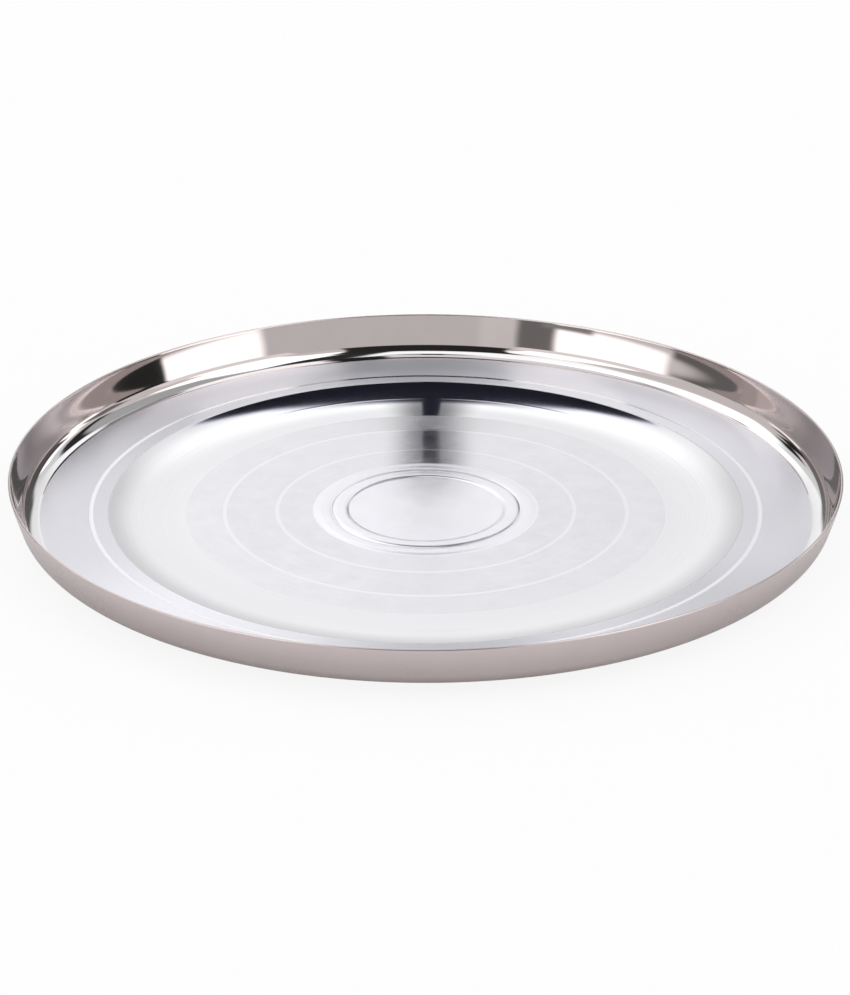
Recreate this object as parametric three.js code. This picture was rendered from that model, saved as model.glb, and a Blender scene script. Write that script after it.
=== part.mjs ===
// Round stainless steel plate, pressed from one disc of sheet: a flat well floor with two raised
// beads at its centre, a ring that dishes up from the well to a flat ledge, a round bend, and a
// short rim wall with a plain trimmed edge. The four zones of the sheet meet face to face.
// Millimetres, +Z up, with the origin on the table under the plate's centre.

import * as THREE from 'three';

// Driving dimensions of the pressing
const RIM_DIAMETER = 300; // outside, across the trimmed edge
const OVERALL_HEIGHT = 19; // from the table to the top of the trimmed edge
const SHEET = 1; // thickness of the steel
const WALL_LEAN_DEG = 16; // how far the side wall leans out from upright
const BEND_RADIUS = 7; // inside radius of the bend between ledge and side wall
const LEDGE_WIDTH = 24.5; // flat ring of floor between the bend and the well
const WELL_DEPTH = 2.8; // fall from the ledge to the well floor
const DISH_WIDTH = 28; // ring in which that fall takes place
const BRIM_RADIUS = 4; // rounding of the upper face where the ledge breaks into the dish

// Beads pressed up out of the well floor, one right outside the other
const CENTRE_DISC_RADIUS = 28; // flat disc inside the beads
const INNER_BEAD_WIDTH = 6.3;
const INNER_BEAD_HEIGHT = 0.5;
const OUTER_BEAD_WIDTH = 6.7;
const OUTER_BEAD_HEIGHT = 0.35;

// Fine lines turned into the upper face
const INNER_LINE_RADIUS = 54;
const MIDDLE_LINE_RADIUS = 73;
const DISH_LINE_INSET = 12.5; // from the brim of the well, inwards
const LEDGE_LINE_INSET = 18.5; // from the foot of the bend, inwards
const LINE_WIDTH = 1.2;
const LINE_DEPTH = 0.15;

// How finely round stretches are divided
const TURN_SEGMENTS = 72;
const BEND_STEPS = 9;
const DISH_STEPS = 5;
const BRIM_STEPS = 2;
const BEAD_STEPS = 4;
const EDGE_STEPS = 4; // in a half round

// Sizes that follow from the driving dimensions, on the middle surface of the sheet
const halfSheet = SHEET / 2;
const wallSlope = THREE.MathUtils.degToRad(90 - WALL_LEAN_DEG);
const rimRadius = RIM_DIAMETER / 2 - halfSheet;
const rimHeight = OVERALL_HEIGHT - halfSheet;
const wellHeight = halfSheet;
const ledgeHeight = wellHeight + WELL_DEPTH;
const fullBend = (rimHeight - ledgeHeight) / (1 - Math.cos(wallSlope));
const bendRadius = Math.min(BEND_RADIUS + halfSheet, fullBend); // the wall limits its bend
const bendTopHeight = ledgeHeight + bendRadius * (1 - Math.cos(wallSlope));
const bendTopRadius = rimRadius - (rimHeight - bendTopHeight) / Math.tan(wallSlope);
const bendFootRadius = bendTopRadius - bendRadius * Math.sin(wallSlope);
const ledgeInnerRadius = bendFootRadius - LEDGE_WIDTH;
const wellRadius = ledgeInnerRadius - DISH_WIDTH;

// The dish and its brim are two arcs that meet at the steepest point of the fall
const steepest = 2 * Math.atan(WELL_DEPTH / DISH_WIDTH);
const brimRadius = BRIM_RADIUS - halfSheet;
const dishRadius = DISH_WIDTH / Math.sin(steepest) - brimRadius;
const brimInnerRadius = ledgeInnerRadius - brimRadius * Math.sin(steepest);

const innerBeadOuterRadius = CENTRE_DISC_RADIUS + INNER_BEAD_WIDTH;
const beads = [
  { start: CENTRE_DISC_RADIUS, width: INNER_BEAD_WIDTH, height: INNER_BEAD_HEIGHT },
  { start: innerBeadOuterRadius, width: OUTER_BEAD_WIDTH, height: OUTER_BEAD_HEIGHT },
];
const lines = [
  INNER_LINE_RADIUS,
  MIDDLE_LINE_RADIUS,
  ledgeInnerRadius - DISH_LINE_INSET,
  bendFootRadius - LEDGE_LINE_INSET,
];

// A station is a point of the middle surface: its radius, its height and the slope there.
function floorStation(r) {
  if (r <= wellRadius) return { r, z: wellHeight, slope: 0 };
  if (r >= ledgeInnerRadius) return { r, z: ledgeHeight, slope: 0 };
  if (r <= brimInnerRadius) {
    const slope = Math.asin((r - wellRadius) / dishRadius);
    return { r, z: wellHeight + dishRadius * (1 - Math.cos(slope)), slope };
  }
  const slope = Math.asin((ledgeInnerRadius - r) / brimRadius);
  return { r, z: ledgeHeight - brimRadius * (1 - Math.cos(slope)), slope };
}

function bendStation(slope) {
  const r = bendFootRadius + bendRadius * Math.sin(slope);
  return { r, z: ledgeHeight + bendRadius * (1 - Math.cos(slope)), slope };
}

// Rise of the pressed beads at a radius: a low arch across each bead's width
function beadRise(r) {
  let rise = 0;
  for (const { start, width, height } of beads) {
    const across = (2 * (r - start)) / width - 1;
    rise = Math.max(rise, height * (1 - across * across));
  }
  return rise;
}

// Depth of the turned lines at a radius: a V across each line's width
function lineDepth(r) {
  let depth = 0;
  for (const radius of lines) {
    depth = Math.max(depth, LINE_DEPTH * (1 - (2 * Math.abs(r - radius)) / LINE_WIDTH));
  }
  return depth;
}

// Point of the profile at a distance from the middle surface, square to it
function offset({ r, z, slope }, distance) {
  return new THREE.Vector2(r - distance * Math.sin(slope), z + distance * Math.cos(slope));
}

function upperPoint(station) {
  return offset(station, halfSheet + beadRise(station.r) - lineDepth(station.r));
}

function lowerPoint(station) {
  return offset(station, -halfSheet + beadRise(station.r));
}

// Evenly spaced values from one end to the other, both included
function spread(from, to, steps) {
  return Array.from({ length: steps + 1 }, (_, i) => from + ((to - from) * i) / steps);
}

const beadRadii = beads.flatMap(({ start, width }) => spread(start, start + width, BEAD_STEPS));
const lineRadii = lines.flatMap((radius) => spread(radius - LINE_WIDTH / 2, radius + LINE_WIDTH / 2, 2));
const archRadii = [
  ...spread(wellRadius, brimInnerRadius, DISH_STEPS),
  ...spread(brimInnerRadius, ledgeInnerRadius, BRIM_STEPS),
];

// Values between two ends at which a face needs points, the ends included, in order
function pointsBetween(from, to, wanted) {
  const inside = wanted.filter((value) => value > from && value < to);
  return [...new Set([from, ...inside, to])].sort((a, b) => a - b);
}

// The lower face has the beads and the arches of the dish; the upper face has the lines as well
function floorProfile(from, to) {
  const pressed = [...beadRadii, ...archRadii];
  const lower = pointsBetween(from, to, pressed).map(floorStation).map(lowerPoint);
  const upper = pointsBetween(from, to, [...pressed, ...lineRadii]).map(floorStation).map(upperPoint);
  return [...lower, ...upper.reverse()];
}

function bendProfile() {
  const stations = spread(0, wallSlope, BEND_STEPS).map(bendStation);
  return [...stations.map(lowerPoint), ...stations.map(upperPoint).reverse()];
}

// Straight wall from the top of the bend, closed by the half-round of the trimmed edge
function rimProfile() {
  const foot = bendStation(wallSlope);
  const edgeCentre = new THREE.Vector2(rimRadius, rimHeight);
  const halfRound = spread(0, Math.PI, EDGE_STEPS); // has the widest and the highest point
  const angles = pointsBetween(wallSlope - Math.PI / 2, wallSlope + Math.PI / 2, halfRound);
  const edge = angles.map((angle) =>
    new THREE.Vector2(Math.cos(angle), Math.sin(angle)).multiplyScalar(halfSheet).add(edgeCentre),
  );
  return [lowerPoint(foot), ...edge, upperPoint(foot)];
}

// Turns a profile about the plate's axis and stands the axis upright
function turned(name, profile, finish) {
  const geometry = new THREE.LatheGeometry(profile, TURN_SEGMENTS);
  const mesh = new THREE.Mesh(geometry, new THREE.MeshStandardMaterial({ metalness: 1, ...finish }));
  mesh.name = name;
  mesh.rotation.x = Math.PI / 2;
  return mesh;
}

function closed(profile) {
  return [...profile, profile[0].clone()];
}

const satin = { color: 0xe3e4e8, roughness: 0.32 };
const polished = { color: 0xd4d4d8, roughness: 0.16 };
const mirror = { color: 0xc6bfbb, roughness: 0.07 };

const plate = new THREE.Group();
plate.name = 'plate';
plate.add(turned('well_floor', floorProfile(0, wellRadius), satin));
plate.add(turned('ledge_ring', closed(floorProfile(wellRadius, bendFootRadius)), polished));
plate.add(turned('foot_bend', closed(bendProfile()), mirror));
plate.add(turned('rim_wall', closed(rimProfile()), mirror));

export default plate;
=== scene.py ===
"""Round stainless steel plate: its pressed sheet in full detail, its finishes, camera and studio.

The file is laid out as an add-on. Each operator makes one zone of the plate or the stage, over the
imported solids, which are loaded first and give the sizes that the zones share with them.
"""

import math
from typing import NamedTuple

import bpy
from bpy.props import FloatProperty, FloatVectorProperty, IntProperty, PointerProperty
from bpy.types import Operator, Panel, PropertyGroup
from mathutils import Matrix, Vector


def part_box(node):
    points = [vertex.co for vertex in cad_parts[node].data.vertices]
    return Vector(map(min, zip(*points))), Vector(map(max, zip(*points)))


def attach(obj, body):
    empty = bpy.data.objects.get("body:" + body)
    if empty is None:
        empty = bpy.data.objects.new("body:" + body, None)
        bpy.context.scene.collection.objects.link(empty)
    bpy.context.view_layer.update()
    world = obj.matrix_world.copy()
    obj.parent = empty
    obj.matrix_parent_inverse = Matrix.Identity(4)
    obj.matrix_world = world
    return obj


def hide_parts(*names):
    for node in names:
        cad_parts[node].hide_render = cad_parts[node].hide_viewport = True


bl_info = {
    "name": "Stainless Steel Plate",
    "version": (1, 0, 0),
    "blender": (4, 5, 0),
    "location": "3D View > Sidebar > Plate",
    "description": "Makes a pressed stainless steel plate zone by zone, with its studio",
    "category": "Object",
}

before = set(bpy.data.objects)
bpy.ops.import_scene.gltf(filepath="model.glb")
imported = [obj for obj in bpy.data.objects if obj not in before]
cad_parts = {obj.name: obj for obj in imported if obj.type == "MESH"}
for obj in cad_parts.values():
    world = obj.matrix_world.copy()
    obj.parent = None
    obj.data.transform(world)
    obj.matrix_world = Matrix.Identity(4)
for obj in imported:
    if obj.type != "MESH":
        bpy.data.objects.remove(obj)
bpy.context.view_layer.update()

# Sizes that the frame gives, in metres
WELL_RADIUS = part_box("well_floor")[1].x
BEND_FOOT_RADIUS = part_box("ledge_ring")[1].x
RIM_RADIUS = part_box("rim_wall")[1].x
RIM_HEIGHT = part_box("rim_wall")[1].z

MM = 0.001
TOUCHING = 1e-7  # points nearer than this, in metres, are one point

# How finely the sheet's profile is divided
FLAT_STEP = 4 * MM
BEAD_STEPS = 28
LINE_STEPS = 10
DISH_STEPS = 40
DISH_GRADE = 1.5
BRIM_STEPS = 10
ARC_STEPS = 28
WALL_STEPS = 20
EDGE_STEPS = 16

BEAD_FLATNESS = 4  # power of a bead's arch; a higher one is flatter on top
SHARP_ANGLE = math.radians(50)

# Places of the finishes in a zone's list of materials
OUTSIDE, LINE, INSIDE = 0, 1, 2

# Where a finish changes within its zone, and the width of the shade painted at the dish's brim
PAINTED_BRIM_SHADE_WIDTH = 11 * MM
PALE_FOOT = (1.6 * MM, 2.6 * MM)  # heights over the ledge

# Marks that turning, buffing and use leave in the steel
NOISE_ROUGHNESS = 0.58
NOISE_DETAIL = 3.0
HAIRLINE_DETAIL = 2.0
NOISE_MEAN = 0.5
TONE_ENDS = (0.2, 0.8)
HAIRLINE_ENDS = (0.60, 0.70)
MARKS_SHARE, CLOUDS_SHARE, SCRATCHES_SHARE = 0.4, 0.6, 0.12
CROSSWISE = 0.25  # of a turn

WHITE = (1.0, 1.0, 1.0, 1.0)
BLACK = (0.0, 0.0, 0.0, 1.0)

# The photograph's frame and the camera read from the ellipse of the rim
PHOTO_HEIGHT_PX = 995
PHOTO_CENTRE_PX = (425.0, 497.5)
RIM_CENTRE_PX = (425.7, 462.9)
FOCAL_LENGTH_PX = 3321.0
CAMERA_ELEVATION = math.radians(23.58)
CAMERA_RIM_RADII = 8.0
SENSOR_MM = 36.0

TABLE_RADIUS = 4.0
TABLE_DROP = 0.2 * MM
TABLE_SIDES = 64

# Dark strip behind the plate: its middle, its core, its veil, and the depth and height of its ends
STRIP_CENTRE = 2.3 * MM
STRIP_HALF_WIDTH = 3.9 * MM
STRIP_EDGE = 0.1  # of the half width, to either side
STRIP_HALO = 22 * MM
STRIP_NEAR = (165 * MM, 67 * MM)
STRIP_FAR = (700 * MM, 202 * MM)


class TentPanel(NamedTuple):
    """A patch of the tent's walls: its light, bearing from the back and extent in degrees"""

    setting: str
    bearing: float
    half_width: float
    foot: float
    top: float
    edge: float
    share: float = 1.0


class CeilingPanel(NamedTuple):
    """A rectangle of the tent's ceiling, which lies one unit above the plate"""

    setting: str
    left: float
    right: float
    near: float
    far: float
    share: float = 1.0


# The tent in the order in which its patches are laid, the later ones over the earlier ones
FRONT = TentPanel("front", 163.0, 31.0, -10.0, 36.0, 3.0)
SWEEP = TentPanel("sweep", 0.0, 14.0, -40.0, 37.0, 4.0)
SOFTBOXES = (
    TentPanel("softbox", -127.0, 18.0, 6.0, 66.0, 4.0),
    TentPanel("softbox", 115.0, 15.0, 4.0, 62.0, 4.0),
    TentPanel("diffuser", -127.0, 24.0, 14.0, 34.0, 2.0),
    TentPanel("diffuser", 115.0, 23.0, 14.0, 34.0, 2.0),
)
SKYLIGHTS = (
    CeilingPanel("skylight", -0.45, 0.08, -0.10, 0.62),
    CeilingPanel("softbox", 0.24, 0.95, -0.45, 0.35),
    CeilingPanel("softbox", 0.24, 0.50, 0.30, 0.62),
)
CEILING_GAP = CeilingPanel("shade", 0.10, 0.20, -0.25, 0.60)
HIGH_CORNERS = (
    TentPanel("softbox", -31.0, 20.0, 38.0, 58.0, 5.0, share=0.9),
    TentPanel("dusk", 34.0, 19.0, 40.0, 58.0, 4.0, share=2.2),
)
OPENING = TentPanel("shade", 0.0, 10.5, 26.0, 56.0, 1.5)
WALL_GLEAMS = (
    TentPanel("dusk", -148.0, 4.0, -10.0, 13.0, 3.0),
    TentPanel("dusk", -139.0, 6.0, -10.0, 5.0, 3.0, share=1.5),
    TentPanel("dusk", 38.0, 25.0, -20.0, 20.0, 4.0, share=0.6),
    TentPanel("dusk", -36.0, 21.0, -20.0, 15.0, 5.0),
    TentPanel("dusk", -93.0, 11.0, -10.0, 3.5, 3.0, share=0.8),
    TentPanel("softbox", 65.0, 5.0, 0.0, 12.0, 3.0),
    TentPanel("softbox", 57.0, 4.0, 12.0, 21.0, 3.0),
    TentPanel("softbox", 40.0, 13.0, 22.5, 26.5, 2.0),
    TentPanel("softbox", -56.0, 7.0, -3.0, 8.0, 3.0, share=0.8),
    TentPanel("shade", 90.0, 9.0, -10.0, 13.0, 2.0),
    TentPanel("dusk", 71.0, 5.0, 16.0, 27.0, 4.0),
    TentPanel("shade", 37.0, 20.0, 33.5, 37.5, 2.0),
    TentPanel("shade", -45.0, 4.0, 15.0, 25.0, 3.0),
    TentPanel("shade", -34.0, 6.0, 27.0, 32.0, 3.0),
)
CEILING_EDGE = 0.03
CEILING_LOWEST = 0.05  # sine of the lowest height at which the ceiling is looked up

# Heights between which the sweep grows brighter
SWEEP_SHOULDER = (math.radians(26), math.radians(34))

# The hood over the front narrows as it rises; each pair is where it starts and where it is full
HOOD_TAPER = 0.32
HOOD_SIDES = (0.57, 0.55)
HOOD_BACK = (-0.02, -0.07)
HOOD_FOOT = (math.radians(30), math.radians(36))

# The opening's foot curves up on both sides of its middle, as far as its rise
OPENING_FOOT = math.radians(31.8)
OPENING_SPREAD = 0.42
OPENING_RISE = math.radians(5.3)
OPENING_EDGE = 0.012


def length(name, description, millimetres):
    return FloatProperty(
        name=name,
        description=description,
        default=millimetres * MM,
        min=0.0,
        unit="LENGTH",
        precision=5,
    )


def angle(name, description, degrees):
    return FloatProperty(
        name=name, description=description, default=math.radians(degrees), subtype="ANGLE"
    )


def share(name, description, default, top=1.0):
    return FloatProperty(
        name=name, description=description, default=default, min=0.0, max=top, subtype="FACTOR"
    )


def colour(name, description, default):
    return FloatVectorProperty(
        name=name,
        description=description,
        default=default,
        min=0.0,
        max=1.0,
        size=3,
        subtype="COLOR",
    )


class PlateSizes(PropertyGroup):
    """Sizes of the pressing that the frame doesn't give"""

    sheet: length("Sheet", "Thickness of the steel", 1.0)
    wall_lean: angle("Wall lean", "Lean of the wall from upright", 16.0)
    wall_curve: angle("Wall curve", "How much steeper the wall stands at its edge", 4.0)
    crease_radius: length("Crease radius", "Rounding of the crease at the foot of the bend", 2.6)
    crease_slope: angle("Crease slope", "Slope at which the crease ends", 13.0)
    lead_radius: length("Lead radius", "Radius of the gentle lead from crease to bend", 13.1)
    lead_slope: angle("Lead slope", "Slope at which the lead ends", 27.0)
    bend_inset: length("Bend inset", "How far the crease lies outside the bend's foot", 0.4)
    dish_width: length("Dish width", "Ring in which the floor falls from ledge to well", 28.0)
    well_depth: length("Well depth", "Fall from the ledge to the well floor", 2.8)
    brim_radius: length("Brim radius", "Rounding where the ledge breaks into the dish", 4.0)
    centre_disc: length("Centre disc", "Radius of the flat disc inside the beads", 28.0)
    inner_bead_width: length("Inner bead width", "Width of the bead round the centre disc", 6.3)
    inner_bead_height: length("Inner bead height", "Rise of the bead round the centre disc", 0.38)
    outer_bead_width: length("Outer bead width", "Width of the second bead", 6.7)
    outer_bead_height: length("Outer bead height", "Rise of the second bead", 0.18)
    inner_line: length("Inner line", "Radius of the first turned line", 54.0)
    middle_line: length("Middle line", "Radius of the second turned line", 73.0)
    dish_line_inset: length("Dish line inset", "From the well's brim to the line in the dish", 12.5)
    ledge_line_inset: length("Ledge line inset", "From the bend's foot to the ledge's line", 18.5)
    line_width: length("Line width", "Width of a turned line", 1.4)
    line_depth: length("Line depth", "Depth of a turned line", 0.012)
    turn_segments: IntProperty(
        name="Turn segments", description="Divisions round the axis", default=288, min=24
    )


class SteelFinishes(PropertyGroup):
    """Colours and roughness of the plate's finishes, and how deep the shade painted on the dish and
    the outside is
    """

    centre_colour: colour("Centre", "Steel of the centre disc and its beads", (0.77, 0.77, 0.81))
    satin_colour: colour("Satin", "Steel of the turned ring", (0.685, 0.68, 0.71))
    band_colour: colour("Pale band", "Steel round the turned ring", (0.695, 0.69, 0.72))
    dish_colour: colour("Dish", "Steel of the dish that rises from the well", (0.73, 0.73, 0.75))
    ledge_colour: colour("Ledge", "Steel of the ledge", (0.77, 0.77, 0.815))
    line_colour: colour("Line", "Bright steel of the turned lines", (0.745, 0.745, 0.77))
    mirror_colour: colour("Mirror", "Steel of the wall's inside", (0.60, 0.54, 0.53))
    foot_colour: colour("Wall foot", "Steel of the wall's inside at its foot", (0.70, 0.69, 0.70))
    outside_colour: colour("Outside", "Steel of the outside and underside", (0.60, 0.53, 0.525))
    satin_roughness: share("Satin roughness", "Roughness of the centre disc and its beads", 0.22)
    turned_roughness: share("Turned roughness", "Roughness of the turned ring", 0.10)
    band_roughness: share("Band roughness", "Roughness of the band round the turned ring", 0.20)
    dish_roughness: share("Dish roughness", "Roughness of the dish", 0.06)
    ledge_roughness: share("Ledge roughness", "Roughness of the ledge", 0.42)
    mirror_roughness: share("Mirror roughness", "Roughness of the bend and the wall's inside", 0.05)
    outside_roughness: share("Outside roughness", "Roughness of the wall's outside", 0.28)
    line_roughness: share("Line roughness", "Roughness of the turned lines", 0.15)
    centre_turning: share("Centre turning", "How far the centre's gloss is drawn out", 0.3)
    turning: share("Turning", "How far the turned ring's gloss is drawn out", 0.95)
    band_turning: share("Band turning", "How far the pale band's gloss is drawn out", 0.2)
    dish_turning: share("Dish turning", "How far the dish's gloss is drawn out", 0.3)
    ledge_turning: share("Ledge turning", "How far the ledge's gloss is drawn out", 0.85)
    outside_turning: share("Outside turning", "How far the outside's gloss is drawn out", 0.3)
    # Painted shade on the dish near its brim and on the outside near the table
    painted_brim_shade: share("Brim shade", "How dark the dish grows towards its brim", 0.30)
    painted_foot_shade: share("Foot shade", "How dark the outside grows towards the table", 0.20)


class StudioLight(PropertyGroup):
    """Brightness of the studio's parts; 1 is white"""

    sweep: share("Sweep", "White sweep behind the plate", 1.12, 4.0)
    sweep_tilt: share("Sweep tilt", "How much the sweep grows brighter to the left", 0.5, 2.0)
    sweep_rise: share("Sweep rise", "How much brighter the sweep's top is than its foot", 0.35, 2.0)
    sides: share("Sides", "Pale sides of the tent", 0.86, 4.0)
    front: share("Front", "Front of the tent, below its hood", 0.75, 4.0)
    softbox: share("Softbox", "Softboxes of the tent and bright patches beside it", 2.0, 20.0)
    diffuser: share("Diffuser", "Softer middle of the front softboxes", 1.12, 20.0)
    skylight: share("Skylight", "Skylight over the left of the tent", 1.4, 20.0)
    dusk: share("Dusk", "Dim corners of the tent", 0.22, 4.0)
    shade: share("Shade", "Dark hood and openings of the tent", 0.03, 4.0)
    shade_tint: colour("Shade tint", "Tint of the dark opening and strip", (0.6, 0.6, 1.0))
    veil: share("Veil", "How much the veil beside the dark strip hides", 0.75)
    floor: share("Floor", "Paleness of the table", 0.92)
    table_glow: share("Table glow", "How much of the table's white is its own", 0.88)
    table_gloss: share("Table gloss", "Share of that white that shows in the steel", 0.20)


def spread(start, end, steps, grade=1.0):
    """Values from start to end, both included; a grade over 1 crowds them towards the start."""
    return [start + (end - start) * (i / steps) ** grade for i in range(steps + 1)]


def arc(start, radius, end_slope):
    """Stations after the start on an arc that goes on from the start's slope to the end slope."""
    first_radius, first_height, first = start
    return [
        (
            first_radius + radius * (math.sin(slope) - math.sin(first)),
            first_height + radius * (math.cos(first) - math.cos(slope)),
            slope,
        )
        for slope in spread(first, end_slope, ARC_STEPS)[1:]
    ]


def wave(across):
    """1 in the middle, 0 at a distance of 1, with no slope at either."""
    return (1 + math.cos(math.pi * across)) / 2


class PressedSheet:
    """Middle surface of the sheet, read as stations of radius, height and slope"""

    def __init__(self, sizes):
        self.sizes = sizes
        self.half = sizes.sheet / 2
        self.wall_slope = math.pi / 2 - sizes.wall_lean
        self.rim_radius = RIM_RADIUS - self.half
        self.rim_height = RIM_HEIGHT - self.half
        self.ledge_height = self.half + sizes.well_depth
        self.brim_foot = WELL_RADIUS + sizes.dish_width
        steepest = 2 * math.atan(sizes.well_depth / sizes.dish_width)
        self.brim_radius = sizes.brim_radius - self.half
        self.dish_radius = sizes.dish_width / math.sin(steepest) - self.brim_radius
        self.brim_inner = self.brim_foot - self.brim_radius * math.sin(steepest)
        outer_start = sizes.centre_disc + sizes.inner_bead_width
        self.beads = [
            (sizes.centre_disc, sizes.inner_bead_width, sizes.inner_bead_height, False),
            (outer_start, sizes.outer_bead_width, sizes.outer_bead_height, True),
        ]
        self.bead_end = outer_start + sizes.outer_bead_width
        self.bright_lines = [
            sizes.inner_line,
            sizes.middle_line,
            BEND_FOOT_RADIUS - sizes.ledge_line_inset,
        ]
        self.lines = [*self.bright_lines, self.brim_foot - sizes.dish_line_inset]

    def floor_station(self, radius):
        """Station of the well, the dish, its brim or the ledge."""
        if radius <= WELL_RADIUS:
            return radius, self.half, 0.0
        if radius >= self.brim_foot:
            return radius, self.ledge_height, 0.0
        if radius <= self.brim_inner:
            slope = math.asin((radius - WELL_RADIUS) / self.dish_radius)
            return radius, self.half + self.dish_radius * (1 - math.cos(slope)), slope
        slope = math.asin((self.brim_foot - radius) / self.brim_radius)
        return radius, self.ledge_height - self.brim_radius * (1 - math.cos(slope)), slope

    def bend_stations(self):
        """Stations from the ledge to the wall: a crease, a gentle lead and the bend itself."""
        sizes = self.sizes
        stations = [(BEND_FOOT_RADIUS, self.ledge_height, 0.0)]
        stations.append((BEND_FOOT_RADIUS + sizes.bend_inset, self.ledge_height, 0.0))
        stations += arc(stations[-1], sizes.crease_radius, sizes.crease_slope)
        stations += arc(stations[-1], sizes.lead_radius, sizes.lead_slope)
        radius, height, slope = stations[-1]
        lean = math.tan(sizes.wall_lean)
        reach = self.rim_radius - radius - (self.rim_height - height) * lean
        turned_out = math.sin(self.wall_slope) - math.sin(slope)
        turned_up = math.cos(slope) - math.cos(self.wall_slope)
        bend_radius = reach / (turned_out - turned_up * lean)
        return stations + arc(stations[-1], bend_radius, self.wall_slope)

    def wall_stations(self, foot, top):
        """Stations above the bend: a wall that bulges slightly and stands steepest at its edge."""
        run, rise = top[0] - foot[0], top[1] - foot[1]
        curve = self.sizes.wall_curve
        stations = []
        for t in spread(0.0, 1.0, WALL_STEPS)[1:]:
            bulge = curve * t * t * (1 - t)
            steeper = curve * t * (3 * t - 2)
            radius = foot[0] + run * t + rise * bulge
            height = foot[1] + rise * t - run * bulge
            stations.append((radius, height, self.wall_slope + steeper))
        return stations

    def bead_rise(self, radius):
        """Rise of the beads, which have flat tops; a fading one falls gently on its outer side."""
        rise = 0.0
        for start, width, height, fading in self.beads:
            across = 2 * (radius - start) / width - 1
            if fading and 0 < across < 1:
                rise = max(rise, height * wave(across))
            else:
                rise = max(rise, height * (1 - across**BEAD_FLATNESS))
        return rise

    def line_fall(self, radius):
        """Depth of the turned lines, which are soft grooves."""
        half_width = self.sizes.line_width / 2
        fall = 0.0
        for line in self.lines:
            across = abs(radius - line) / half_width
            if across < 1:
                fall = max(fall, self.sizes.line_depth * wave(across))
        return fall

    def on_line(self, radius):
        return any(abs(radius - line) < self.sizes.line_width / 2 for line in self.bright_lines)

    def offset(self, station, distance):
        """Point at a distance from the middle surface, square to it."""
        radius, height, slope = station
        return radius - distance * math.sin(slope), height + distance * math.cos(slope)

    def upper(self, station):
        radius = station[0]
        return self.offset(station, self.half + self.bead_rise(radius) - self.line_fall(radius))

    def lower(self, station):
        return self.offset(station, self.bead_rise(station[0]) - self.half)


def floor_radii(sheet, start, end):
    """Radii from one seam to the other at which the floor's faces get points, in order."""
    wanted = spread(start, end, max(2, round((end - start) / FLAT_STEP)))
    for first, width, _, _ in sheet.beads:
        wanted += spread(first, first + width, BEAD_STEPS)
    for line in sheet.lines:
        half_width = sheet.sizes.line_width / 2
        wanted += spread(line - half_width, line + half_width, LINE_STEPS)
    wanted += spread(WELL_RADIUS, sheet.brim_inner, DISH_STEPS, DISH_GRADE)
    wanted += spread(sheet.brim_inner, sheet.brim_foot, BRIM_STEPS)
    inside = sorted(r for r in wanted if start + TOUCHING < r < end - TOUCHING)
    kept = [start]
    for radius in inside:
        if radius - kept[-1] > TOUCHING:
            kept.append(radius)
    return [*kept, end]


def marked(points, finish):
    return [(radius, height, finish) for radius, height in points]


def floor_profile(sheet, start, end, borders):
    """Closed profile of the floor; each border passed on the way in gives the next inner finish."""
    radii = floor_radii(sheet, start, end)
    lower = marked([sheet.lower(sheet.floor_station(r)) for r in radii], OUTSIDE)
    upper = []
    for radius, inner in zip(reversed(radii), [*reversed(radii[:-1]), start]):
        middle = (radius + inner) / 2
        finish = INSIDE + sum(middle < border for border in borders)
        if sheet.on_line(middle):
            finish = LINE
        upper += marked([sheet.upper(sheet.floor_station(radius))], finish)
    return lower + upper


def wall_profile(sheet):
    """Closed profile of the bend and the wall, up one side, round the trimmed edge and down."""
    bend = sheet.bend_stations()
    top = (sheet.rim_radius, sheet.rim_height, sheet.wall_slope)
    stations = bend + sheet.wall_stations(bend[-1], top)
    turns = spread(sheet.wall_slope - math.pi / 2, sheet.wall_slope + math.pi / 2, EDGE_STEPS)
    edge = [
        (sheet.rim_radius + sheet.half * math.cos(a), sheet.rim_height + sheet.half * math.sin(a))
        for a in turns[1:-1]
    ]
    outside = marked([sheet.lower(s) for s in stations], OUTSIDE)
    inside = marked([sheet.upper(s) for s in reversed(stations)], INSIDE)
    return outside + marked(edge, OUTSIDE) + inside


def placed(name, data):
    """Puts an object with this data into the scene."""
    made = bpy.data.objects.new(name, data)
    bpy.context.scene.collection.objects.link(made)
    return made


def turns_round(sides):
    return [2 * math.pi * i / sides for i in range(sides)]


def turned(name, profile, materials, segments):
    """Turns a closed profile about Z; each point carries the finish of the stretch after it."""
    angles = turns_round(segments)
    points, rows = [], []
    for radius, height, _ in profile:
        first = len(points)
        if radius < TOUCHING:
            points.append((0.0, 0.0, height))
            rows.append([first] * segments)
        else:
            points += [(radius * math.cos(a), radius * math.sin(a), height) for a in angles]
            rows.append(list(range(first, first + segments)))
    faces, finishes = [], []
    for row, following, (_, _, finish) in zip(rows, rows[1:] + rows[:1], profile):
        for i in range(segments):
            j = (i + 1) % segments
            corners = list(dict.fromkeys((row[j], following[j], following[i], row[i])))
            if len(corners) > 2:
                faces.append(corners)
                finishes.append(finish)
    mesh = bpy.data.meshes.new(name)
    mesh.from_pydata(points, [], faces)
    for material in materials:
        mesh.materials.append(material)
    mesh.polygons.foreach_set("material_index", finishes)
    mesh.shade_smooth()
    mesh.set_sharp_from_angle(angle=SHARP_ANGLE)
    return placed(name, mesh)


def seat(piece, slot, *nodes):
    """Ties a zone to the plate's body and hides the solids that it stands for; the slot is not
    used.
    """
    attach(piece, "root")
    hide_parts(*nodes)


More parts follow.
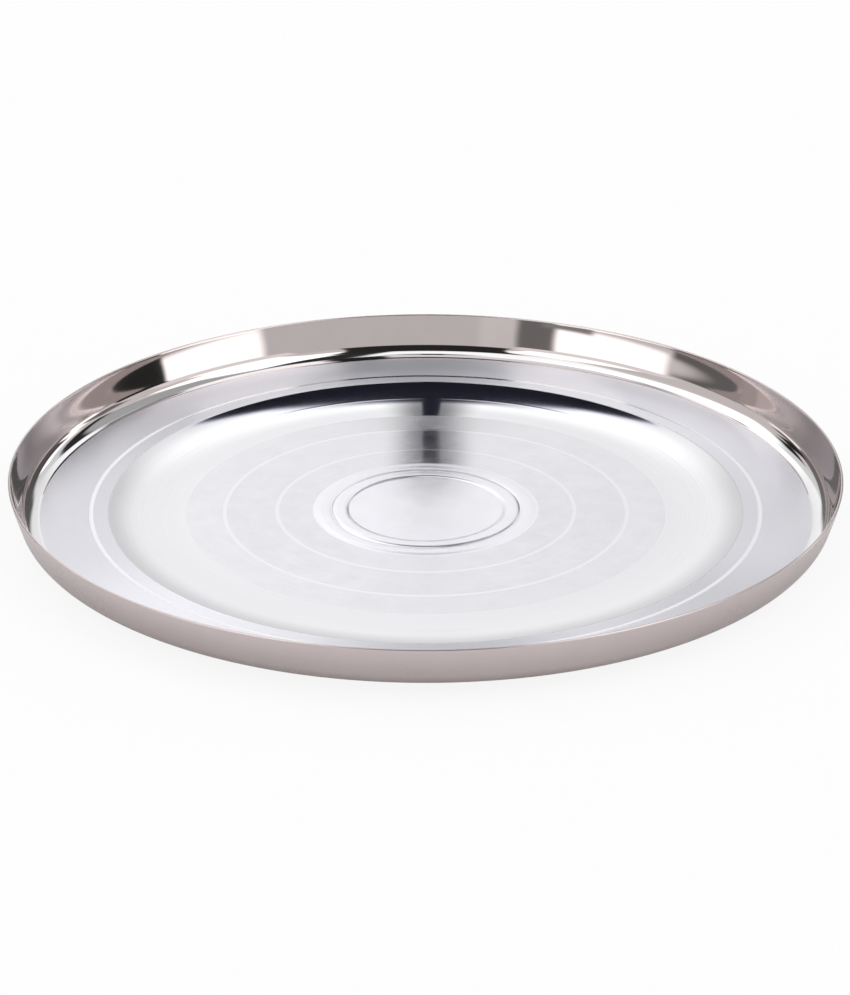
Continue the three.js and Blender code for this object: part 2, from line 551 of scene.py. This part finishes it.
class Wire:
    """An output socket of a shader tree; operators on it add Math nodes to that tree."""

    def __init__(self, tree, socket=None):
        self.tree = tree
        self.socket = socket

    def node(self, kind, settings=None, inputs=None, output=0):
        """Adds a node, applies its settings, fills or links its inputs and returns one output."""
        made = self.tree.nodes.new(kind)
        for name, value in (settings or {}).items():
            setattr(made, name, value)
        for key, value in (inputs or {}).items():
            if isinstance(value, Wire):
                self.tree.links.new(value.socket, made.inputs[key])
            else:
                made.inputs[key].default_value = value
        return Wire(self.tree, made.outputs[output] if made.outputs else None)

    def math(self, operation, *values):
        return self.node("ShaderNodeMath", {"operation": operation}, dict(enumerate(values)))

    def vector_math(self, operation, *values, output=0):
        return self.node(
            "ShaderNodeVectorMath", {"operation": operation}, dict(enumerate(values)), output
        )

    def __add__(self, other):
        return self.math("ADD", self, other)

    __radd__ = __add__

    def __sub__(self, other):
        return self.math("SUBTRACT", self, other)

    def __rsub__(self, other):
        return self.math("SUBTRACT", other, self)

    def __mul__(self, other):
        return self.math("MULTIPLY", self, other)

    __rmul__ = __mul__

    def __truediv__(self, other):
        return self.math("DIVIDE", self, other)

    def __rtruediv__(self, other):
        return self.math("DIVIDE", other, self)

    def __abs__(self):
        return self.math("ABSOLUTE", self)

    def rising(self, low, high):
        """0 below low, 1 above high and smooth between them; falling where low is above high."""
        return self.node(
            "ShaderNodeMapRange",
            {"interpolation_type": "SMOOTHSTEP"},
            {"Value": self, "From Min": low, "From Max": high},
        )

    def between(self, first, second):
        """A value that goes from first to second as this value goes from 0 to 1."""
        return self.node("ShaderNodeMix", {"data_type": "FLOAT"}, {0: self, 2: first, 3: second})

    def mixed(self, first, second):
        """A colour that goes from first to second as this value goes from 0 to 1."""
        return self.node(
            "ShaderNodeMix",
            {"data_type": "RGBA", "clamp_factor": True},
            {0: self, 6: first, 7: second},
            output=2,
        )


def bare_tree(owner):
    """Empties the shader tree of a material or world and gives a wire to start it from."""
    owner.use_nodes = True
    owner.node_tree.nodes.clear()
    return Wire(owner.node_tree)


def opaque(rgb):
    return (*rgb, 1.0)


def shaded(rgb, share_kept):
    return opaque(tuple(channel * share_kept for channel in rgb))


def uneven(value, noise, swing):
    """The value, which the noise raises and lowers by up to half the swing."""
    return value + swing * (noise - NOISE_MEAN)


class SteelSurface:
    """A steel material in the making: its shader tree and the places that its detail follows"""

    def __init__(self, name):
        self.material = bpy.data.materials.new(name)
        self.root = bare_tree(self.material)
        self.place = self.root.node("ShaderNodeTexCoord", output="Object")
        flat = self.root.vector_math("MULTIPLY", self.place, (1.0, 1.0, 0.0))
        self.radius = self.root.vector_math("LENGTH", flat, output="Value")
        self.height = self.root.node("ShaderNodeSeparateXYZ", inputs={0: self.place}, output="Z")
        self.around = self.root.vector_math("NORMALIZE", flat)

    def noise(self, vector, scale, detail=NOISE_DETAIL):
        return self.root.node(
            "ShaderNodeTexNoise",
            inputs={
                "Vector": vector,
                "Scale": scale,
                "Detail": detail,
                "Roughness": NOISE_ROUGHNESS,
            },
        )

    def rings(self, pitch, stretch):
        """Noise drawn out round the axis, as turning and buffing leave it."""
        steps = (self.radius + self.height) / pitch
        along = self.root.node("ShaderNodeCombineXYZ", inputs={"Z": steps})
        drawn = self.root.vector_math("MULTIPLY", self.around, (stretch, stretch, stretch))
        return self.noise(self.root.vector_math("ADD", drawn, along), 1.0)

    def clouds(self, size):
        return self.noise(self.place, 1.0 / size)

    def hairlines(self, bearing, reach, width):
        """Sparse fine scratches that all run at one bearing."""
        laid = self.root.node(
            "ShaderNodeMapping",
            {"vector_type": "TEXTURE"},
            {"Vector": self.place, "Rotation": (0.0, 0.0, bearing), "Scale": (reach, width, 1.0)},
        )
        return self.noise(laid, 1.0, HAIRLINE_DETAIL).rising(*HAIRLINE_ENDS)

    def toned(self, rgb, tone, swing):
        """The colour, darker or lighter by up to the swing as the tone goes from end to end."""
        return tone.rising(*TONE_ENDS).mixed(shaded(rgb, 1 - swing), shaded(rgb, 1 + swing))

    def finished(self, base, roughness, relief, relief_height, drawn_out=0.0):
        """Closes the material; a gloss that is drawn out stretches across the turning marks."""
        normal = self.root.node(
            "ShaderNodeBump", inputs={"Strength": 1.0, "Distance": relief_height, "Height": relief}
        )
        surface = self.root.node(
            "ShaderNodeBsdfPrincipled",
            inputs={
                "Base Color": base,
                "Metallic": 1.0,
                "Roughness": roughness,
                "Anisotropic": drawn_out,
                "Anisotropic Rotation": CROSSWISE,
                "Normal": normal,
            },
        )
        self.root.node("ShaderNodeOutputMaterial", inputs={"Surface": surface})
        return self.material


def satin_steel(name, rgb, roughness, drawn_out):
    """Fine-turned floor with a faint mottle and a few hairline scratches."""
    steel = SteelSurface(name)
    turning = steel.rings(pitch=0.35 * MM, stretch=2.0)
    mottle = steel.clouds(size=9 * MM)
    long_scratches = steel.hairlines(math.radians(8), reach=30 * MM, width=0.4 * MM)
    short_scratches = steel.hairlines(math.radians(-52), reach=22 * MM, width=0.35 * MM)
    scratches = long_scratches + short_scratches
    tone = MARKS_SHARE * turning + CLOUDS_SHARE * mottle + SCRATCHES_SHARE * scratches
    base = steel.toned(rgb, tone, swing=0.05)
    varied = uneven(uneven(roughness, mottle, swing=0.08), turning, swing=0.06)
    return steel.finished(base, varied, turning, relief_height=0.004 * MM, drawn_out=drawn_out)


def dish_steel(finish, brim):
    """Mirror-bright ring with painted shade that darkens it a little towards the brim of the well.
    """
    steel = SteelSurface("bright_dish_steel")
    buffing = steel.rings(pitch=0.5 * MM, stretch=3.0)
    smudge = steel.clouds(size=26 * MM)
    bright = steel.toned(finish.dish_colour, buffing, swing=0.02)
    # Painted shade: the base colour darkens towards the brim of the well.
    painted_shade_near_brim = steel.radius.rising(brim - PAINTED_BRIM_SHADE_WIDTH, brim)
    base = (painted_shade_near_brim * finish.painted_brim_shade).mixed(bright, BLACK)
    roughness = uneven(finish.dish_roughness, smudge, swing=0.03)
    return steel.finished(
        base, roughness, buffing, relief_height=0.001 * MM, drawn_out=finish.dish_turning
    )


def ledge_steel(finish):
    """Silky ledge, buffed in circles."""
    steel = SteelSurface("silky_ledge_steel")
    buffing = steel.rings(pitch=0.5 * MM, stretch=3.0)
    smudge = steel.clouds(size=30 * MM)
    tone = MARKS_SHARE * buffing + CLOUDS_SHARE * smudge
    base = steel.toned(finish.ledge_colour, tone, swing=0.03)
    roughness = uneven(finish.ledge_roughness, smudge, swing=0.05)
    return steel.finished(
        base, roughness, buffing, relief_height=0.002 * MM, drawn_out=finish.ledge_turning
    )


def line_steel(finish):
    """Bright cut of the turned lines."""
    steel = SteelSurface("turned_line_steel")
    buffing = steel.rings(pitch=0.2 * MM, stretch=3.0)
    base = steel.toned(finish.line_colour, buffing, swing=0.03)
    roughness = uneven(finish.line_roughness, buffing, swing=0.05)
    return steel.finished(base, roughness, buffing, relief_height=0.0005 * MM)


def mirror_steel(finish, foot):
    """Mirror-bright inside of the wall, paler at its foot."""
    steel = SteelSurface("mirror_wall_steel")
    buffing = steel.rings(pitch=0.6 * MM, stretch=3.0)
    smudge = steel.clouds(size=18 * MM)
    upper = steel.toned(finish.mirror_colour, smudge, swing=0.025)
    lower = steel.toned(finish.foot_colour, smudge, swing=0.025)
    base = steel.height.rising(foot + PALE_FOOT[0], foot + PALE_FOOT[1]).mixed(lower, upper)
    roughness = uneven(finish.mirror_roughness, smudge, swing=0.03)
    return steel.finished(base, roughness, buffing, relief_height=0.0005 * MM)


def outside_steel(finish):
    """Satin outside with painted shade, which darkens it from the rim down towards the table."""
    steel = SteelSurface("satin_outside_steel")
    buffing = steel.rings(pitch=0.4 * MM, stretch=3.0)
    smudge = steel.clouds(size=25 * MM)
    steel_tone = steel.toned(finish.outside_colour, smudge, swing=0.03)
    # Painted shade: the base colour darkens from the rim down to the table, standing in for the
    # shadowed table that the outside reflects.
    painted_shade_fade = steel.height.rising(0.0, RIM_HEIGHT)
    base = ((1 - painted_shade_fade) * finish.painted_foot_shade).mixed(steel_tone, BLACK)
    roughness = uneven(finish.outside_roughness, smudge, swing=0.06)
    return steel.finished(
        base, roughness, buffing, relief_height=0.0004 * MM, drawn_out=finish.outside_turning
    )


class PLATE_OT_make_well_floor(Operator):
    """Makes the flat satin bottom with its beads and turned lines"""

    bl_idname = "plate.make_well_floor"
    bl_label = "Make Well Floor"

    def execute(self, context):
        sizes, finish = context.scene.plate_sizes, context.scene.steel_finishes
        sheet = PressedSheet(sizes)
        profile = floor_profile(sheet, 0.0, WELL_RADIUS, (sizes.middle_line, sheet.bead_end))
        band = (finish.band_colour, finish.band_roughness, finish.band_turning)
        ring = (finish.satin_colour, finish.turned_roughness, finish.turning)
        centre = (finish.centre_colour, finish.satin_roughness, finish.centre_turning)
        materials = [
            outside_steel(finish),
            line_steel(finish),
            satin_steel("pale_band_steel", *band),
            satin_steel("turned_ring_steel", *ring),
            satin_steel("satin_centre_steel", *centre),
        ]
        piece = turned("well_floor_sheet", profile, materials, sizes.turn_segments)
        seat(piece, "satin_floor", "well_floor")
        return {"FINISHED"}


class PLATE_OT_make_ledge(Operator):
    """Makes the polished ring that dishes up from the well to the ledge"""

    bl_idname = "plate.make_ledge"
    bl_label = "Make Ledge"

    def execute(self, context):
        sizes, finish = context.scene.plate_sizes, context.scene.steel_finishes
        sheet = PressedSheet(sizes)
        profile = floor_profile(sheet, WELL_RADIUS, BEND_FOOT_RADIUS, (sheet.brim_foot,))
        materials = [
            outside_steel(finish),
            line_steel(finish),
            ledge_steel(finish),
            dish_steel(finish, sheet.brim_foot),
        ]
        piece = turned("ledge_sheet", profile, materials, sizes.turn_segments)
        seat(piece, "polished_ledge", "ledge_ring")
        return {"FINISHED"}


class PLATE_OT_make_wall(Operator):
    """Makes the bend and the rim wall with its rounded edge"""

    bl_idname = "plate.make_wall"
    bl_label = "Make Wall"

    def execute(self, context):
        sizes, finish = context.scene.plate_sizes, context.scene.steel_finishes
        sheet = PressedSheet(sizes)
        materials = [
            outside_steel(finish),
            line_steel(finish),
            mirror_steel(finish, sheet.ledge_height),
        ]
        piece = turned("wall_sheet", wall_profile(sheet), materials, sizes.turn_segments)
        seat(piece, "mirror_wall", "foot_bend", "rim_wall")
        return {"FINISHED"}


def make_camera():
    """The photograph's camera, aimed so that the rim lies where its ellipse does."""
    rim_centre = Vector((0.0, 0.0, RIM_HEIGHT))
    distance = CAMERA_RIM_RADII * RIM_RADIUS
    aside = (PHOTO_CENTRE_PX[0] - RIM_CENTRE_PX[0]) / FOCAL_LENGTH_PX * distance
    tilt = math.atan((PHOTO_CENTRE_PX[1] - RIM_CENTRE_PX[1]) / FOCAL_LENGTH_PX)
    data = bpy.data.cameras.new("camera")
    data.sensor_width = SENSOR_MM
    data.lens = FOCAL_LENGTH_PX / PHOTO_HEIGHT_PX * SENSOR_MM
    camera = placed("camera", data)
    back = Vector((0.0, -math.cos(CAMERA_ELEVATION), math.sin(CAMERA_ELEVATION)))
    camera.location = rim_centre + back * distance + Vector((aside, 0.0, 0.0))
    camera.rotation_euler = (math.pi / 2 - CAMERA_ELEVATION - tilt, 0.0, 0.0)
    bpy.context.scene.camera = camera


def make_table(light):
    """A pale table whose own white shows to the camera and in the steel, and that keeps shadows."""
    mesh = bpy.data.meshes.new("table")
    points = [
        (TABLE_RADIUS * math.cos(a), TABLE_RADIUS * math.sin(a), -TABLE_DROP)
        for a in turns_round(TABLE_SIDES)
    ]
    mesh.from_pydata(points, [], [list(range(TABLE_SIDES))])
    material = bpy.data.materials.new("pale_table")
    root = bare_tree(material)
    to_camera = root.node("ShaderNodeLightPath", output="Is Camera Ray")
    in_gloss = root.node("ShaderNodeLightPath", output="Is Glossy Ray")
    through = root.node("ShaderNodeLightPath", output="Is Transmission Ray")
    glow = light.table_glow * (to_camera + light.table_gloss * (in_gloss + through))
    matte = root.node("ShaderNodeBsdfDiffuse", inputs={"Color": opaque((light.floor,) * 3)})
    white = root.node("ShaderNodeEmission", inputs={"Color": WHITE, "Strength": 1.0})
    surface = root.node("ShaderNodeMixShader", inputs={0: glow, 1: matte, 2: white})
    root.node("ShaderNodeOutputMaterial", inputs={"Surface": surface})
    mesh.materials.append(material)
    table = placed("table", mesh)


def make_tent(light):
    """The world's light: a pale tent with a white sweep, softboxes, skylights and a dark hood."""
    world = bpy.data.worlds.new("studio")
    bpy.context.scene.world = world
    root = bare_tree(world)
    direction = root.node("ShaderNodeTexCoord", output="Generated")
    east = root.node("ShaderNodeSeparateXYZ", inputs={0: direction}, output="X")
    north = root.node("ShaderNodeSeparateXYZ", inputs={0: direction}, output="Y")
    up = root.node("ShaderNodeSeparateXYZ", inputs={0: direction}, output="Z")
    height = up.math("ARCSINE", up)
    bearing = east.math("ARCTAN2", east, north)
    overhead = up.math("MAXIMUM", up, CEILING_LOWEST)
    aside, back = east / overhead, north / overhead

    def patch(panel):
        """1 inside a panel of the tent's walls, 0 outside it."""
        turn = bearing - math.radians(panel.bearing)
        across = turn.math("COSINE", turn).rising(
            math.cos(math.radians(panel.half_width + panel.edge)),
            math.cos(math.radians(panel.half_width)),
        )
        above = height.rising(math.radians(panel.foot - panel.edge), math.radians(panel.foot))
        below = height.rising(math.radians(panel.top + panel.edge), math.radians(panel.top))
        return across * above * below

    def ceiling(panel):
        """1 inside a panel of the ceiling, 0 outside it."""
        from_left = aside.rising(panel.left - CEILING_EDGE, panel.left)
        from_right = aside.rising(panel.right + CEILING_EDGE, panel.right)
        from_near = back.rising(panel.near - CEILING_EDGE, panel.near)
        from_far = back.rising(panel.far + CEILING_EDGE, panel.far)
        return from_left * from_right * from_near * from_far

    def brightness(panel):
        return panel.share * getattr(light, panel.setting)

    leaning = 1 - light.sweep_tilt * bearing
    brightening = 1 + light.sweep_rise * height.rising(*SWEEP_SHOULDER)
    narrowing = (abs(east) + HOOD_TAPER * up).rising(*HOOD_SIDES)
    hood = narrowing * north.rising(*HOOD_BACK) * height.rising(*HOOD_FOOT)
    rise = OPENING_SPREAD * bearing.math("SQRT", abs(bearing))
    opening_foot = OPENING_FOOT + rise.math("MINIMUM", rise, OPENING_RISE)
    opening = patch(OPENING) * (height - opening_foot).rising(-OPENING_EDGE, OPENING_EDGE)
    layers = [
        (brightness(FRONT), patch(FRONT)),
        (brightness(SWEEP) * leaning * brightening, patch(SWEEP)),
        *((brightness(panel), patch(panel)) for panel in SOFTBOXES),
        *((brightness(panel), ceiling(panel)) for panel in SKYLIGHTS),
        (light.shade, hood),
        (brightness(CEILING_GAP), ceiling(CEILING_GAP)),
        *((brightness(panel), patch(panel)) for panel in HIGH_CORNERS),
        (brightness(OPENING), opening),
        *((brightness(panel), patch(panel)) for panel in WALL_GLEAMS),
    ]
    strength = light.sides
    for level, where in layers:
        strength = where.between(strength, level)
    tint = opening.mixed(WHITE, opaque(light.shade_tint))
    studio = root.node("ShaderNodeBackground", inputs={"Color": tint, "Strength": strength})
    backdrop = root.node("ShaderNodeBackground", inputs={"Color": WHITE, "Strength": 1.0})
    seen = root.node("ShaderNodeLightPath", output="Is Camera Ray")
    surface = root.node("ShaderNodeMixShader", inputs={0: seen, 1: studio, 2: backdrop})
    root.node("ShaderNodeOutputWorld", inputs={"Surface": surface})


def make_strip(light):
    """Hangs a narrow dark strip with a thin veil behind the plate, which only gloss can see."""
    left, right = STRIP_CENTRE - STRIP_HALO, STRIP_CENTRE + STRIP_HALO
    mesh = bpy.data.meshes.new("dark_strip")
    corners = [(left, *STRIP_NEAR), (right, *STRIP_NEAR), (right, *STRIP_FAR), (left, *STRIP_FAR)]
    mesh.from_pydata(corners, [], [(0, 1, 2, 3)])
    material = bpy.data.materials.new("dark_strip")
    root = bare_tree(material)
    place = root.node("ShaderNodeTexCoord", output="Object")
    across = abs(root.node("ShaderNodeSeparateXYZ", inputs={0: place}, output="X") - STRIP_CENTRE)
    core = across.rising((1 + STRIP_EDGE) * STRIP_HALF_WIDTH, (1 - STRIP_EDGE) * STRIP_HALF_WIDTH)
    veil = light.veil * across.rising(STRIP_HALO, STRIP_HALF_WIDTH)
    clear = root.node("ShaderNodeBsdfTransparent")
    tint = opaque(light.shade_tint)
    dark = root.node("ShaderNodeEmission", inputs={"Color": tint, "Strength": light.shade})
    cover = core.math("MAXIMUM", core, veil)
    surface = root.node("ShaderNodeMixShader", inputs={0: cover, 1: clear, 2: dark})
    root.node("ShaderNodeOutputMaterial", inputs={"Surface": surface})
    mesh.materials.append(material)
    strip = placed("dark_strip", mesh)
    strip.visible_camera = False
    strip.visible_diffuse = False
    strip.visible_shadow = False


class PLATE_OT_make_stage(Operator):
    """Makes the camera, the pale table, the light tent and the dark strip"""

    bl_idname = "plate.make_stage"
    bl_label = "Make Stage"

    def execute(self, context):
        context.scene.view_settings.view_transform = "Standard"
        make_camera()
        make_table(context.scene.studio_light)
        make_tent(context.scene.studio_light)
        make_strip(context.scene.studio_light)
        return {"FINISHED"}


OPERATORS = (
    PLATE_OT_make_stage,
    PLATE_OT_make_well_floor,
    PLATE_OT_make_ledge,
    PLATE_OT_make_wall,
)
GROUPS = {
    "plate_sizes": PlateSizes,
    "steel_finishes": SteelFinishes,
    "studio_light": StudioLight,
}


class PLATE_PT_sidebar(Panel):
    """Lists the plate's settings and the operators that make it"""

    bl_idname = "PLATE_PT_sidebar"
    bl_label = "Stainless Steel Plate"
    bl_space_type = "VIEW_3D"
    bl_region_type = "UI"
    bl_category = "Plate"

    def draw(self, context):
        for operator in OPERATORS:
            self.layout.operator(operator.bl_idname)
        for name, group in GROUPS.items():
            box = self.layout.box()
            for setting in group.__annotations__:
                box.prop(getattr(context.scene, name), setting)


CLASSES = (*GROUPS.values(), *OPERATORS, PLATE_PT_sidebar)


def register():
    for cls in CLASSES:
        bpy.utils.register_class(cls)
    for name, group in GROUPS.items():
        setattr(bpy.types.Scene, name, PointerProperty(type=group))


def unregister():
    for name in GROUPS:
        delattr(bpy.types.Scene, name)
    for cls in reversed(CLASSES):
        bpy.utils.unregister_class(cls)


def main():
    register()
    bpy.ops.plate.make_stage()
    bpy.ops.plate.make_well_floor()
    bpy.ops.plate.make_ledge()
    bpy.ops.plate.make_wall()


if __name__ == "__main__":
    main()
